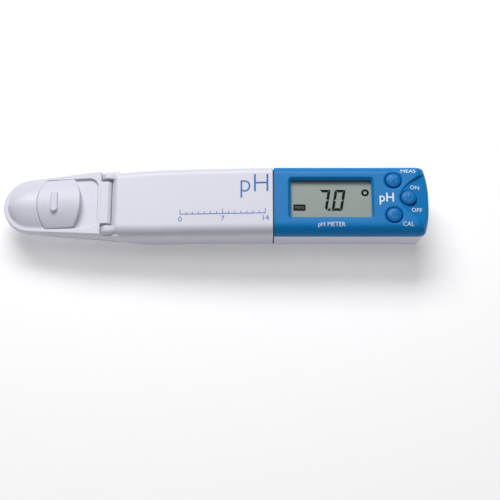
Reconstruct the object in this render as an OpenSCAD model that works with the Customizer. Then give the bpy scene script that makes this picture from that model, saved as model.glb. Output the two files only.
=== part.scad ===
// Pocket pH meter: a display head that plugs into a replaceable flat-sensor module.
// Frame: +X runs from the sensor tip to the button end, +Z comes out of the display.
// The origin is the middle of the length and width, on the face that the meter rests on.

/* [Body] */
// Overall length, sensor tip to button end
total_length = 164; // [162:0.5:166]
// Overall width of the display head
body_width = 29; // [28.5:0.25:30]
// Height of the display face above the resting face
body_height = 20; // [19.75:0.25:20.5]
// Length of the sensor module, tip to joint
sensor_length = 104; // [103:0.5:105]
// Wall thickness of the two case halves
wall = 1.8; // [1.6:0.1:2]
// Inward slope of the lower side walls, in degrees
side_draft = 12; // [10:1:13]

/* [Display] */
// Width of the display opening, along the meter
window_length = 30.8; // [30:0.2:32]
// Height of the display opening, across the meter
window_width = 15.5; // [14.5:0.5:16]

/* [Buttons] */
// Radius of each button
button_r = 2.95; // [2.8:0.05:3.2]
// Travel of each button
button_travel = 0.5; // [0.3:0.1:0.5]

/* [Sensor tip] */
// Downward slope of the tip, in degrees
tip_slope = 6.2; // [6:0.1:6.4]
// Radius of the rounded tip
tip_r = 11.1; // [10.9:0.1:11.2]
// Height of the dome on the light-shield cover
dome_h = 2.2; // [1.8:0.1:2.4]
// Travel of the slide cap
cap_travel = 6; // [5:0.5:6]

/* [Cells] */
// Diameter of a coin cell
cell_d = 20; // [19.8:0.1:20]
// Thickness of a coin cell
cell_h = 3.2; // [3:0.1:3.2]

/* [Hidden] */
$fn = 64;
eps = 0.01;
fit = 0.1; // gap between pieces of different bodies
big = 60; // longer than any cut needs

x_tip = -total_length / 2;
x_end = total_length / 2;
x_joint = x_tip + sensor_length;
seam = 0.4; // gap between sensor module and head
x_head = x_joint + seam;
head_half = body_width / 2;
z_face = body_height;
side_r = 4.4; // quarter-round sides of the upper case
z_part = z_face - side_r;
end_bulge_r = 50; // the button end is a shallow arc
end_corner_r = 5;

// Display stack, from the face down
z_lens = z_face - 1.1;
lens_t = 1;
z_lcd = z_face - 2.5;
lcd_t = 2.2;
board_t = 1.2;
z_board = 10.6; // top of the board
window_x = x_head + 6.5 + window_length / 2;
bevel = 1.1;
lens_lip = 1;

// Buttons
button_x = x_end - 13.8;
button_y = 7.3;
power_x = x_end - 8.1;
BUTTONS = [[button_x, button_y], [power_x, 0], [button_x, -button_y]];
button_top = 0.9;
button_gap = 0.2;
flange_z = z_face - wall - 1.8;
stem_r = 1.4;
stem_z = 13;
scoop_x = x_end - 11.3;
scoop_slope = 10;
scoop_wall = 1.2;
scoop_curve = 0.085; // the scoop's edge is a parabola, x = curve * y^2

// Spigot of the head, inside the sensor module
spigot_half = 12.2;
spigot_top = 16;
spigot_bottom = 2.6;
x_spigot = x_joint - 44;
spigot_flange = 1.2;
pin_z = 7.6;
cell_z = spigot_top - 0.4 - cell_h;
bay_gap = 0.2;
CELLS = [x_joint - 33.1, x_joint - 11.8];

// Sensor module
sleeve_half = 14.3;
x_bend = x_joint - 45;
x_front = x_tip + 42.3;
front_r = 2.2; // rounded front edge of the sleeve
x_cavity = x_spigot - 2.6;
cover_split = 2; // height of the bottom cover's side strip
split_at_tip = 0.7;
cover_ledge = 0.2; // the bottom cover stands this far proud at its sides
x_cover_end = x_tip + 66;
SLEEVE_HALF = [[x_front, 13.3], [x_front + 10, 13.9], [x_bend, 14.1], [x_joint, sleeve_half]];
BOTTOM_LINE = [[x_tip, 8.5], [x_tip + 37, 5.2], [x_tip + 45, 3.2], [x_tip + 52, 1], [x_tip + 56, 0], [x_end, 0]];

// Light-shield cover: its own frame has the hinge axis as origin and u along the slope
x_hinge = x_front - 2.1;
z_hinge = 14.3;
barrel_r = 1.6;
rim = barrel_r + fit; // the rim plane is this far above the hinge axis
plate_t = 1.6;
pin_r = 0.6;
knuckle_half = 8.9;
ear_in = 9.9;
ear_out = 13.2;
ear_r = 2;
ear_arch_x = 0.9;
ear_arch_a = 2.9;
ear_arch_h = 1.9;
u_rear = -2.3;
u_tip = (x_tip - x_hinge + rim * sin(tip_slope)) / cos(tip_slope);
u_round = u_tip + tip_r;
flare = 5.05; // the sides widen by this angle towards the hinge
rim_w = 2;
dome_root = 0.15; // the dome's edges start this far inside the plate
hollow_r = 10.4; // ball that hollows the fixed part of the dome

// Slide cap and its pocket
cap_u = -18.25;
cap_a = 8.45;
cap_b = 10.3;
cap_bulge_r = 19.5; // the cap's two ends are shallow arcs
cap_corner_r = 11.5; // its corners lie on this circle
pocket_depth = 0.9;
pocket_end = u_rear - 1.2;
pocket_r = 3.5;
hook_y = 6.5;
hook_u = cap_u - 2.5; // middle of the hooks, so that the cap hides their slots
slit_half = 5;

// Sensor well, in the cover's frame
well_u = -20.8;
well_a = 3.6; // half of the straight part
well_r = 7.6;
deck = rim - plate_t - fit;
well_depth = 0.8;
electrode_t = 0.8;
plate_clear = 0.15;
duct_x = x_tip + 24; // front end of the wires' duct under the well
wire_y = 2.2;
wire_z = 9; // height of the wires in the duct

// Release tongue on the underside
tongue_x0 = x_joint - 14;
tongue_x1 = x_joint + 16.2;
tongue_half = 5;
tongue_t = 1.4;
tongue_z = 0.1;
tongue_gap = 0.2;
roof_half = tongue_half + 2; // roof of the tongue's recess
roof_top = 3.6;
stub_x = x_joint + 11.5;
stub_r = 1.6;
tongue_pivot_z = tongue_z + tongue_t / 2;

// Strap hole at the button end
strap_x = x_end - 6.6;
strap_r = 1.5;
strap_lip = 2.5;

SCREWS = [[x_head + 42.4, 0], [x_end - 6.5, 8.3], [x_end - 6.5, -8.3]];
screw_r = 0.8;

white = "#dfe0ea";
blue = "#1d6fc0";

// ---------- shared shapes ----------

function arc(c, r, a0, a1, n = 6) =
    [for (i = [0:n]) let (a = a0 + (a1 - a0) * i / n) c + r * [cos(a), sin(a)]];

function mirrored(p) = [for (i = [len(p) - 1:-1:0]) [-p[i][0], p[i][1]]];

// Closed cross-section (y, z): rounded top corners, sides that slope in by draft, rounded bottom
function section(w, zt, zb, rt, rb, draft = side_draft) =
    let (
        wb = w - rt + (rt - (zt - rt - zb) * sin(draft)) / cos(draft),
        low = arc([wb - rb * (1 - sin(draft)) / cos(draft), zb + rb], rb, -90, -draft),
        high = rt > 0 ? arc([w - rt, zt - rt], rt, -draft, 90) : [[w, zt]],
        half = concat(low, high)
    ) concat(half, mirrored(half));

// Solid through equal-sized (y, z) rings at the positions xs
module loft(xs, rings) {
    n = len(rings[0]);
    m = len(rings);
    polyhedron(
        points = [for (i = [0:m - 1]) for (p = rings[i]) [xs[i], p[0], p[1]]],
        faces = concat(
            [[for (j = [0:n - 1]) j]],
            [for (i = [0:m - 2]) for (j = [0:n - 1])
                let (a = i * n + j, b = i * n + (j + 1) % n) [a, a + n, b + n, b]],
            [[for (j = [n - 1:-1:0]) (m - 1) * n + j]]
        ),
        convexity = 6
    );
}

// Extrudes a (y, z) shape from x0 to x1
module along_x(x0, x1) translate([x0, 0, 0]) rotate([90, 0, 90]) linear_extrude(x1 - x0) children();

// Extrudes an (x, z) shape over the full width
module across_y() rotate([90, 0, 0]) linear_extrude(big, center = true) children();

module box(x0, x1, half, z0, z1) translate([x0, -half, z0]) cube([x1 - x0, 2 * half, z1 - z0]);

module post(x, y, z0, z1, r) translate([x, y, z0]) cylinder(h = z1 - z0, r = r);

// Frame of the light-shield cover: u along the slope, w away from the sensor
module on_cover() translate([x_hinge, 0, z_hinge]) rotate([0, -tip_slope, 0]) children();

// ---------- display head ----------

// Plan of the head, taken in by an inset
module head_plan(inset = 0) {
    r = end_corner_r - inset;
    x1 = x_end - inset;
    half = head_half - inset;
    intersection() {
        union() {
            translate([x_head, -half]) square([x1 - r - x_head, 2 * half]);
            translate([x_head, -half + r]) square([x1 - x_head, 2 * (half - r)]);
            for (side = [-1, 1]) translate([x1 - r, side * (half - r)]) circle(r);
        }
        translate([x1 - end_bulge_r, 0]) circle(end_bulge_r, $fn = 200);
    }
}

// Upper cross-section: quarter-round sides up to the face
module upper_section(inset = 0) {
    r = side_r - inset;
    half = head_half - inset;
    z1 = z_face - inset;
    translate([-half + r, z_part]) square([2 * (half - r), z1 - z_part]);
    for (side = [-1, 1]) translate([side * (half - r), z_part]) intersection() {
        circle(r);
        translate([-r, 0]) square([2 * r, r]);
    }
}

module lower_body(inset = 0) {
    slope = tan(side_draft);
    intersection() {
        along_x(x_head, x_end) polygon(section(head_half - inset, z_part, inset, 0, 3 - inset));
        linear_extrude(z_part) head_plan(inset);
        across_y() polygon([
            [x_head, 0], [x_end - inset - z_part * slope, 0], [x_end - inset, z_part], [x_head, z_part],
        ]);
    }
}

// The ramped recess around the power button, deeper towards the end
module scoop(below = 0) {
    reach = x_end - scoop_x + 2;
    y_max = sqrt(reach / scoop_curve);
    translate([scoop_x - below, 0, z_face - below]) rotate([0, scoop_slope, 0]) linear_extrude(3)
        polygon([for (i = [-12:12]) let (y = y_max * i / 12) [scoop_curve * y * y, y]]);
}

module window_cut() {
    half_l = window_length / 2;
    half_w = window_width / 2;
    translate([window_x, 0, 0]) {
        translate([-half_l, -half_w, z_face - 5]) cube([2 * half_l, 2 * half_w, 6]);
        translate([-half_l - lens_lip, -half_w - lens_lip, z_lens - 4])
            cube([2 * (half_l + lens_lip), 2 * (half_w + lens_lip), 4]);
        hull() {
            translate([-half_l, -half_w, z_lens]) cube([2 * half_l, 2 * half_w, eps]);
            translate([-half_l - bevel, -half_w - bevel, z_face])
                cube([2 * (half_l + bevel), 2 * (half_w + bevel), eps]);
        }
    }
}

module button_holes() {
    for (b = BUTTONS) {
        post(b[0], b[1], z_face - 4, z_face + 1, button_r + button_gap);
        translate([b[0], b[1], z_face - 0.35])
            cylinder(h = 0.4, r1 = button_r + button_gap, r2 = button_r + 0.8);
    }
}

module upper_case() color(blue) difference() {
    intersection() {
        along_x(x_head, x_end) upper_section();
        linear_extrude(z_face + 1) head_plan();
    }
    difference() {
        intersection() {
            along_x(x_head + wall, x_end) upper_section(wall);
            linear_extrude(z_face + 1) head_plan(wall);
        }
        scoop(scoop_wall);
    }
    along_x(x_head - 1, x_head + wall + eps) spigot_shape(0.05);
    seal_ring(z_part - eps, z_part + 0.5);
    window_cut();
    button_holes();
    scoop();
}

// Ring that follows the parting line, in the middle of the wall
module seal_ring(z0, z1) translate([0, 0, z0]) linear_extrude(z1 - z0) difference() {
    head_plan(0.6);
    head_plan(1.2);
    translate([x_head - 1, -head_half]) square([1.6, 2 * head_half]);
}

module lower_case() color(white) difference() {
    union() {
        difference() {
            lower_body();
            intersection() {
                lower_body(wall);
                box(x_head + wall, x_end, head_half, 0, z_part + 1);
            }
        }
        intersection() {
            lower_body();
            union() {
                box(x_head + wall - eps, tongue_x1 + 4, roof_half, 1, roof_top);
                box(strap_x - 4.4, x_end, 5.6, 1, z_board - board_t);
                for (s = SCREWS) post(s[0], s[1], 1, z_board - board_t, 2.4);
            }
        }
        post(stub_x, 0, tongue_z + 0.65, 2, stub_r);
    }
    along_x(x_head - 1, x_head + wall + eps) spigot_shape(0.05);
    difference() {
        box(x_head - 1, tongue_x1 + 0.4, tongue_half + tongue_gap, -1, 1.8);
        post(stub_x, 0, tongue_z + 0.65, 2, stub_r);
    }
    translate([tongue_x1 + 0.8, 0, -1.2]) rotate([90, 0, 0]) cylinder(h = 7, r = 2.6, center = true);
    post(strap_x, 0, -1, strap_lip + 1, strap_r);
    box(strap_x - 2.6, x_end + 1, 3.8, strap_lip, 8.2);
    for (s = SCREWS) post(s[0], s[1], 3.2, z_board, screw_r - 0.05);
}

module case_seal() color("dimgray") seal_ring(z_part, z_part + 0.5);

module display_window() color("#c8d4d8", 0.35) translate([window_x, 0, z_lens - lens_t]) {
    half_l = window_length / 2 + lens_lip;
    half_w = window_width / 2 + lens_lip;
    translate([-half_l, -half_w, 0]) cube([2 * half_l, 2 * half_w, lens_t]);
}

// The front glass is wider than the rear one, and its ledges meet the zebra strips
module lcd_panel() color("#9ba6a2") {
    half_l = window_length / 2 + 1.8;
    translate([window_x, 0, 0]) {
        box(-half_l, half_l, window_width / 2 + 2.4, z_lcd - lcd_t / 2, z_lcd);
        box(-half_l, half_l, window_width / 2 + 0.1, z_lcd - lcd_t, z_lcd - lcd_t / 2);
    }
}

module lcd_frame() color("#2b2b2e") translate([window_x, 0, 0]) difference() {
    half_l = window_length / 2 + 2.7;
    half_w = window_width / 2 + 3.2;
    box(-half_l, half_l, half_w, z_board, z_lcd - 0.2);
    box(-half_l + 0.8, half_l - 0.8, half_w - 0.7, z_board - 1, z_lcd + 1);
}

module zebra_strips() color("#3a3a3e") for (side = [-1, 1])
    translate([window_x, side * (window_width / 2 + 1.1), 0])
        box(-window_length / 2, window_length / 2, 0.9, z_board, z_lcd - lcd_t / 2);

// A button: domed cap, flange below the wall, stem down to its switch
module button(b) color(blue) {
    dome_r = (button_r * button_r + 0.5 * 0.5) / (2 * 0.5);
    difference() {
        union() {
            intersection() {
                post(b[0], b[1], flange_z, z_face + button_top, button_r);
                translate([b[0], b[1], z_face + button_top - dome_r]) sphere(dome_r, $fn = 96);
            }
            post(b[0], b[1], flange_z, flange_z + 0.8, button_r + 0.7);
            post(b[0], b[1], stem_z, flange_z + eps, stem_r);
        }
        post(b[0], b[1], flange_z + 1, z_face - 0.6, button_r - 1);
    }
}

module meas_button() button(BUTTONS[0]);
module power_button() button(BUTTONS[1]);
module cal_button() button(BUTTONS[2]);

// Rubber mat on the board, with a pocket for each switch
module keypad_seal() color("#3b4450") difference() {
    intersection() {
        translate([0, 0, z_board]) linear_extrude(2.2) head_plan(wall + 2.6);
        box(button_x - 4, x_end - 5.2, 10, 0, z_face);
    }
    for (b = BUTTONS) {
        post(b[0], b[1], z_board, z_board + 3, stem_r + 0.2);
        translate([b[0], b[1], 0]) box(-2.4, 2.4, 2.4, z_board - 1, z_board + 1.5);
    }
    for (s = SCREWS) post(s[0], s[1], z_board - 1, z_board + 3, 2.4);
}

module main_board() color("#2f6b3f") difference() {
    union() {
        intersection() {
            translate([0, 0, z_board - board_t]) linear_extrude(board_t) head_plan(wall + 2);
            box(x_head + 4, x_end, 10.6, 0, z_face);
        }
        box(x_spigot + 3.4, x_head + 4 + eps, 9.2, z_board - board_t, z_board);
    }
    box(x_end - 3.6, x_end, head_half, 0, z_face);
    for (s = SCREWS) post(s[0], s[1], 0, z_face, screw_r + 0.2);
}

module key_switches() color("silver") for (b = BUTTONS) {
    translate([b[0], b[1], 0]) box(-2.2, 2.2, 2.2, z_board, z_board + 1.3);
    post(b[0], b[1], z_board + 1.3 - eps, stem_z - button_travel - 0.1, 1.1);
}

// A chip body with a row of leads along each long side
module chip(x, y, length, width, height, leads) translate([x, y, z_board - board_t - height - 0.1]) {
    pitch = length / leads;
    color("#26262a") translate([-length / 2, -width / 2, 0]) cube([length, width, height]);
    color("silver") for (side = [-1, 1]) for (i = [0:leads - 1])
        translate([-length / 2 + (i + 0.25) * pitch, side * (width / 2 + 0.45) - 0.45, 0.2])
            cube([pitch / 2, 0.9, height - 0.1]);
}

module microcontroller() chip(window_x + 2, 0, 9, 7, 1.4, 12);
module amplifier_chip() chip(window_x - 12, 0, 4.8, 4, 1.3, 4);

module crystal_can() color("silver") translate([window_x + 11, 0, z_board - board_t - 0.9]) {
    translate([0, -1.8, 0]) rotate([-90, 0, 0]) cylinder(h = 3.6, r = 0.9);
    translate([-0.6, -2.6, 0.4]) cube([1.2, 5.2, 0.5]);
}

// A row of chip parts on the underside of the board
module chip_row(y, count, pitch, size) for (i = [0:count - 1])
    translate([window_x - 12 + i * pitch, y - size[1] / 2, z_board - board_t - size[2]]) cube(size);

module chip_capacitors() color("#b58a5a") chip_row(6.4, 6, 4.2, [2, 1.25, 1]);
module chip_resistors() color("#303036") chip_row(-6.4, 8, 3, [1.6, 0.8, 0.5]);

module board_screws() color("silver") for (s = SCREWS) {
    post(s[0], s[1], 3.6, z_board + eps, screw_r - 0.05);
    difference() {
        post(s[0], s[1], z_board, z_board + 0.9, 1.6);
        translate([s[0], s[1], z_board + 0.5]) for (a = [0, 90])
            rotate([0, 0, a]) translate([-1.1, -0.2, 0]) cube([2.2, 0.4, 1]);
    }
}

// ---------- spigot with the cells ----------

module spigot_shape(grow = 0)
    polygon(section(spigot_half + grow, spigot_top + grow, spigot_bottom - grow, 3 + grow, 2.4 + grow));

module spigot_core(inset) polygon(section(
    spigot_half - inset, cell_z - 1, spigot_bottom + inset, 0.6, 2.4 - inset));

module battery_carrier() color(white) difference() {
    union() {
        along_x(x_spigot, x_head + wall) spigot_shape();
        along_x(x_head + wall, x_head + wall + spigot_flange)
            polygon(section(head_half - wall - 0.1, z_part - 0.2, wall + 0.1, 0, 2.4));
    }
    along_x(x_spigot + 1.6, x_head + big) spigot_core(1.6);
    box(x_head + wall, x_head + 5, roof_half + 0.1, 0, roof_top + 0.1);
    for (x = CELLS) post(x, 0, cell_z, z_face, cell_d / 2 + bay_gap);
    box(CELLS[0], CELLS[1], 3.2, cell_z, z_face);
    // groove of the gasket
    along_x(x_joint - 1.4, x_joint - 0.3) difference() {
        spigot_shape(1);
        spigot_shape(-0.9);
    }
    // window of the pin block, slots of the contacts and finger notches
    box(x_spigot - 1, x_spigot + 2, 6.1, 5.9, 9.3);
    for (x = CELLS) {
        box(x - 4.2, x + 4.2, 1.7, cell_z - 2, cell_z + eps);
        translate([x, cell_d / 2 + 0.4, cell_z]) cylinder(h = big, r = 2.2);
        translate([x - 1.7, cell_d / 2 - 0.1, z_board]) cube([3.4, 0.6, big]);
    }
}

// A cell's can, with the groove under its crimped rim
module coin_cell(x) color("silver") translate([x, 0, cell_z]) difference() {
    r = cell_d / 2;
    rotate_extrude($fn = 96) polygon([
        [0, 0.5], [r - 1.5, 0.5], [r - 1.5, 0.15], [r - 0.4, 0.15], [r, 0.55], [r, cell_h - 0.35],
        [r - 0.35, cell_h], [0, cell_h],
    ]);
}

module coin_cell_front() coin_cell(CELLS[0]);
module coin_cell_rear() coin_cell(CELLS[1]);

module cell_caps() color("#b9bcc0") for (x = CELLS)
    post(x, 0, cell_z, cell_z + 0.5, cell_d / 2 - 1.7);

// Side springs against the rims of the cells, with a foot on the board
module positive_contacts() color("gold") for (x = CELLS) translate([x, cell_d / 2 + 0.02, z_board]) {
    translate([-1.5, 0, 0]) cube([3, 0.25, cell_z + cell_h - 0.5 - z_board]);
    translate([-1.5, -2.2, 0]) cube([3, 2.3, 0.25]);
}

// Leaf springs below the cells, with a foot on the board
module negative_contacts() color("gold") for (x = CELLS) translate([x, 0, 0]) {
    box(-4, 4, 1.5, cell_z - 0.5, cell_z - 0.25);
    box(2.6, 4, 1.2, cell_z - 0.26, cell_z - 0.02);
    box(-4, -3.6, 1.5, z_board, cell_z - 0.49);
}

module cell_clip() color("silver") {
    x = (CELLS[0] + CELLS[1]) / 2;
    box(x - 2.6, x + 2.6, 3, cell_z + cell_h, cell_z + cell_h + 0.35);
    box(x - 0.4, x + 0.4, 3, cell_z, cell_z + cell_h + eps);
}

// Sealing ring: a lip in the spigot's groove and a flange in the seam
module joint_gasket() color("#3f4348") {
    along_x(x_joint - 1.35, x_joint - 0.35) difference() {
        spigot_shape(0.12);
        spigot_shape(-0.88);
    }
    along_x(x_joint + 0.05, x_head) difference() {
        polygon(section(sleeve_half - 0.35, z_face - 0.6, 0.6, side_r, 2.6));
        spigot_shape(0.02);
        translate([-tongue_half - 1, -1]) square([2 * tongue_half + 2, 3.4]);
    }
}

module pin_block() color("#2b2b2e") difference() {
    box(x_spigot + 0.3, x_spigot + 3.2, 6, 6, 9.2);
    for (i = [-2:2]) translate([x_spigot - 1, i * 2.2, pin_z]) rotate([0, 90, 0]) cylinder(h = 9, r = 0.5);
}

module contact_pins() color("gold") for (i = [-2:2]) {
    translate([0, i * 2.2, pin_z]) rotate([0, 90, 0]) {
        translate([0, 0, x_spigot - 1.4]) cylinder(h = 5.4, r = 0.32);
        translate([0, 0, x_spigot + 0.4]) cylinder(h = 3.3, r = 0.5);
    }
    post(x_spigot + 3.75, i * 2.2, pin_z, z_board - board_t, 0.25);
}

// ---------- sensor module ----------

function bottom_z(x) = lookup(x, BOTTOM_LINE);

// Top line of the sleeve: a wedge from the joint to the bend, then the tip's slope
function sleeve_top(x) = x > x_bend
    ? z_face - 0.2 - 1.8 * (x_joint - x) / (x_joint - x_bend)
    : 18 + (x - x_bend) * tan(tip_slope);

// Height taken off by the rounded front edge
function front_drop(x) = let (d = x_front + front_r - x) d > 0 ? front_r - sqrt(max(0, front_r * front_r - d * d)) : 0;

function sleeve_ring(x, grow = 0) = section(
    lookup(x, SLEEVE_HALF) + grow, sleeve_top(x) - front_drop(x), bottom_z(x), 4.6 - front_drop(x) * 0.8, 2.6);

function tip_half(x) =
    let (c = x_tip + tip_r, xt = c - tip_r * sin(flare))
    x < xt
        ? sqrt(max(0, tip_r * tip_r - (x - c) * (x - c)))
        : tip_r * cos(flare) + (x - xt) * tan(flare);

// Plane on which the cover rests, at the position x
function deck_z(x) = z_hinge + deck / cos(tip_slope) + (x - x_hinge) * tan(tip_slope);

function tip_ring(x, grow = 0) = section(tip_half(x) - 0.1 + grow, deck_z(x), bottom_z(x), 0.3, 1.3);

TIP_X = [for (a = [10:10:90]) x_tip + tip_r * (1 - cos(a))];
SLEEVE_X = concat([for (a = [0:18:90]) x_front + front_r * (1 - cos(a))], [x_tip + 52, x_tip + 56, x_bend]);

module sensor_body(grow = 0) {
    xs = concat(TIP_X, [x_tip + 24, x_tip + 37, x_front + 2]);
    loft(xs, [for (x = xs) tip_ring(x, grow)]);
    ss = concat(SLEEVE_X, [x_joint]);
    loft(ss, [for (x = ss) sleeve_ring(x, grow)]);
}

// Everything below the split line of the bottom cover, lowered by an offset
module below_split(offset = 0) across_y() polygon(concat(
    [[x_tip, bottom_z(x_tip) + split_at_tip - offset]],
    [[x_tip + 27, bottom_z(x_tip + 27) + cover_split - offset]],
    [for (p = BOTTOM_LINE) if (p[0] > x_tip && p[0] < x_cover_end) [p[0], p[1] + cover_split - offset]],
    [[x_cover_end - offset, cover_split - offset], [x_cover_end - offset, -5], [x_tip - 5, -5],
     [x_tip - 5, bottom_z(x_tip) + split_at_tip - offset]]
));

// Everything in front of the spigot's cavity that is more than a skin above the bottom line
module above_bottom(skin) across_y() polygon(concat(
    [for (p = BOTTOM_LINE) if (p[0] < x_cavity) [p[0], p[1] + skin]],
    [[x_cavity, skin], [x_cavity, z_face], [x_tip, z_face]]
));

// Chamber for the reference gel and the wires, between the tip's well and the spigot
module chamber() intersection() {
    along_x(x_front - 8, x_cavity - 3) polygon(section(11.4, 12.4, 0, 1, 1, 10));
    across_y() polygon([
        [x_front - 8, deck_z(x_front - 8) - 2], [x_cavity - 3, deck_z(x_front - 8) - 1],
        [x_cavity - 3, -1], [x_front - 8, -1],
    ]);
}

module obround(r, a, h) {
    for (s = [-1, 1]) translate([s * a, 0, 0]) cylinder(h = h, r = r);
    translate([-a, -r, 0]) cube([2 * a, 2 * r, h]);
}

// Arched ears that carry the hinge pin and run back into the sleeve
module hinge_ears() for (side = [-1, 1]) {
    y0 = side > 0 ? ear_in : -ear_out;
    translate([x_hinge, y0 + ear_out - ear_in, z_hinge]) rotate([90, 0, 0]) {
        cylinder(h = ear_out - ear_in, r = ear_r);
        linear_extrude(ear_out - ear_in) polygon(concat(
            [for (a = [0:10:180]) [ear_arch_x + ear_arch_a * cos(a), ear_arch_h * sin(a)]],
            [[-ear_r, -3], [ear_arch_x + ear_arch_a, -3]]
        ));
    }
}

module sensor_housing() color(white) difference() {
    union() {
        difference() {
            sensor_body();
            translate([x_hinge, 0, z_hinge]) rotate([90, 0, 0])
                cylinder(h = 2 * ear_in, r = barrel_r + 0.25, center = true);
            box(x_hinge - 1.5, x_front, ear_in, z_hinge - 0.4, z_face);
        }
        hinge_ears();
    }
    below_split();
    chamber();
    along_x(x_cavity, x_joint + 1) spigot_shape(0.2);
    box(x_cavity - 4, x_cavity + eps, 6, 5, 10);
    box(duct_x, x_front - 7, 4, 7, 9.6);
    for (side = [-1, 1]) post(duct_x + 0.7, side * wire_y, 9, deck_z(duct_x) - well_depth - 0.5, 0.3);
    translate([x_hinge, 0, z_hinge]) rotate([90, 0, 0]) cylinder(h = big, r = pin_r, center = true);
    on_cover() translate([well_u, 0, deck]) {
        translate([0, 0, -well_depth - electrode_t]) obround(well_r, well_a, 4);
        translate([0, 0, -0.4]) obround(well_r + 0.9, well_a, 4);
        translate([8.6, 0, -well_depth - 4]) cylinder(h = 3.5, r = 1.3);
    }
    on_cover() translate([hook_u - 3, -8, deck - 0.7]) cube([cap_travel + 6, 16, 4]);
    tongue_cut();
}

module bottom_cover() color("#d2d3dd") difference() {
    intersection() {
        sensor_body(cover_ledge);
        below_split(0.02);
    }
    intersection() {
        translate([0, 0, -0.8]) chamber();
        above_bottom(1.2);
    }
}

// Closes the window between the chamber and the spigot's cavity, and carries the contact pads
module chamber_bulkhead() color("#2b6a44") difference() {
    box(x_cavity, x_cavity + 1, 7.9, 4.4, 10.8);
    for (i = [-2:2]) translate([x_cavity - 1, i * 2.2, pin_z]) rotate([0, 90, 0]) cylinder(h = 3, r = 0.3);
}

module contact_pads() color("gold") for (i = [-2:2])
    translate([x_cavity + 1, i * 2.2 - 0.8, 6.2]) cube([0.17, 1.6, 2.8]);

module on_well(w = 0) on_cover() translate([well_u, 0, deck - well_depth + w]) children();

module sensor_plate() color("#bcd3e6", 0.6) on_well(-electrode_t) difference() {
    obround(well_r - plate_clear - 0.8, well_a, electrode_t);
    translate([-3.2, 0, electrode_t - 0.4]) cylinder(h = 1, r = 4.2);
    translate([5.6, 0, -1]) cylinder(h = 3, r = 1.8);
}

module ph_membrane() color("#9fc4dd", 0.6) on_well(-0.4) translate([-3.2, 0, 0])
    cylinder(h = 0.35, r = 4.15);

module liquid_junction() color("ivory") on_well(-electrode_t) translate([5.6, 0, 0])
    cylinder(h = electrode_t + 0.05, r = 1.75);

module well_seal() color("#4a5058") on_well(-electrode_t) difference() {
    obround(well_r - 0.02, well_a, electrode_t + 0.15);
    translate([0, 0, -1]) obround(well_r - 0.9, well_a, 4);
}

module thermistor() color("#26262a") on_well(-electrode_t - 0.9) translate([8.6, 0, 0])
    cylinder(h = 0.9, r = 1);

// Silver wires from the plate, along the duct and down through the gel to the bulkhead
module wires(r) for (side = [-1, 1]) {
    x0 = duct_x + 0.7;
    x1 = x_front - 3.5;
    y = side * wire_y;
    z_plate = deck_z(x0) - (well_depth + electrode_t) / cos(tip_slope) - 0.05;
    post(x0, y, wire_z, z_plate, r);
    translate([x0, y, wire_z]) sphere(r);
    translate([x0, y, wire_z]) rotate([0, 90, 0]) cylinder(h = x1 - x0, r = r);
    translate([x1, y, wire_z]) sphere(r);
    post(x1, y, pin_z, wire_z, r);
    translate([x1, y, pin_z]) sphere(r);
    translate([x1, y, pin_z]) rotate([0, 90, 0]) cylinder(h = x_cavity + 1 - x1, r = r);
}

module electrode_wires() color("silver") wires(0.25);

module reference_gel() color("#e8eef2", 0.7) difference() {
    intersection() {
        box(x_front - 4.5, x_cavity - 5.2, 9, 0, 10.4);
        above_bottom(1.4);
    }
    wires(0.28);
}

module hinge_pin() color("silver") translate([x_hinge, 0, z_hinge]) rotate([90, 0, 0])
    cylinder(h = 2 * ear_out - 0.4, r = pin_r, center = true);

// ---------- light-shield cover ----------

function cover_half(u, inset = 0) =
    let (ut = u_round - tip_r * sin(flare))
    u < ut
        ? sqrt(max(0, pow(tip_r - inset, 2) - pow(u - u_round, 2)))
        : (tip_r - inset) * cos(flare) + (u - ut) * tan(flare);

module cover_outline(inset = 0, u1 = u_rear) {
    r = tip_r - inset;
    ut = u_round - r * sin(flare);
    y0 = r * cos(flare);
    y1 = y0 + (u1 - ut) * tan(flare);
    translate([u_round, 0]) circle(r, $fn = 128);
    polygon([[ut, -y0], [u1, -y1], [u1, y1], [ut, y0]]);
}

// Dome across the cover: a ring is an arc of the given half chord over a flat base
function dome_ring(half, height, base, n = 14) = concat(
    [[half, rim - base]],
    [for (i = [0:n]) let (t = 1 - 2 * i / n) [half * t, rim - dome_root + (height + dome_root) * (1 - t * t)]],
    [[-half, rim - base]]
);

DOME_U = [for (a = [8:9:90]) u_round - (tip_r - rim_w) * cos(a)];

module dome(inset, drop, base) {
    us = concat(DOME_U, [cap_u + cap_a, pocket_end + 6]);
    loft(us, [for (u = us)
        let (half = cover_half(u, rim_w + inset))
        dome_ring(half, 0.35 - drop + dome_h * pow(half / cover_half(cap_u, rim_w), 0.7), base)]);
}

// Barrel-shaped outline of the cap: bulging ends, straight sides, rounded corners
module cap_shape(grow = 0) translate([cap_u, 0]) intersection() {
    translate([cap_bulge_r - cap_a, 0]) circle(cap_bulge_r + grow, $fn = 128);
    translate([cap_a - cap_bulge_r, 0]) circle(cap_bulge_r + grow, $fn = 128);
    square([4 * cap_a, 2 * (cap_b + grow)], center = true);
    circle(cap_corner_r + grow, $fn = 96);
}

module pocket_shape() {
    half = cap_b + 0.15;
    cap_shape(0.15);
    translate([cap_u, -half]) square([pocket_end - pocket_r - cap_u, 2 * half]);
    translate([cap_u, -half + pocket_r]) square([pocket_end - cap_u, 2 * (half - pocket_r)]);
    for (s = [-1, 1]) translate([pocket_end - pocket_r, s * (half - pocket_r)]) circle(pocket_r);
}

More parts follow.
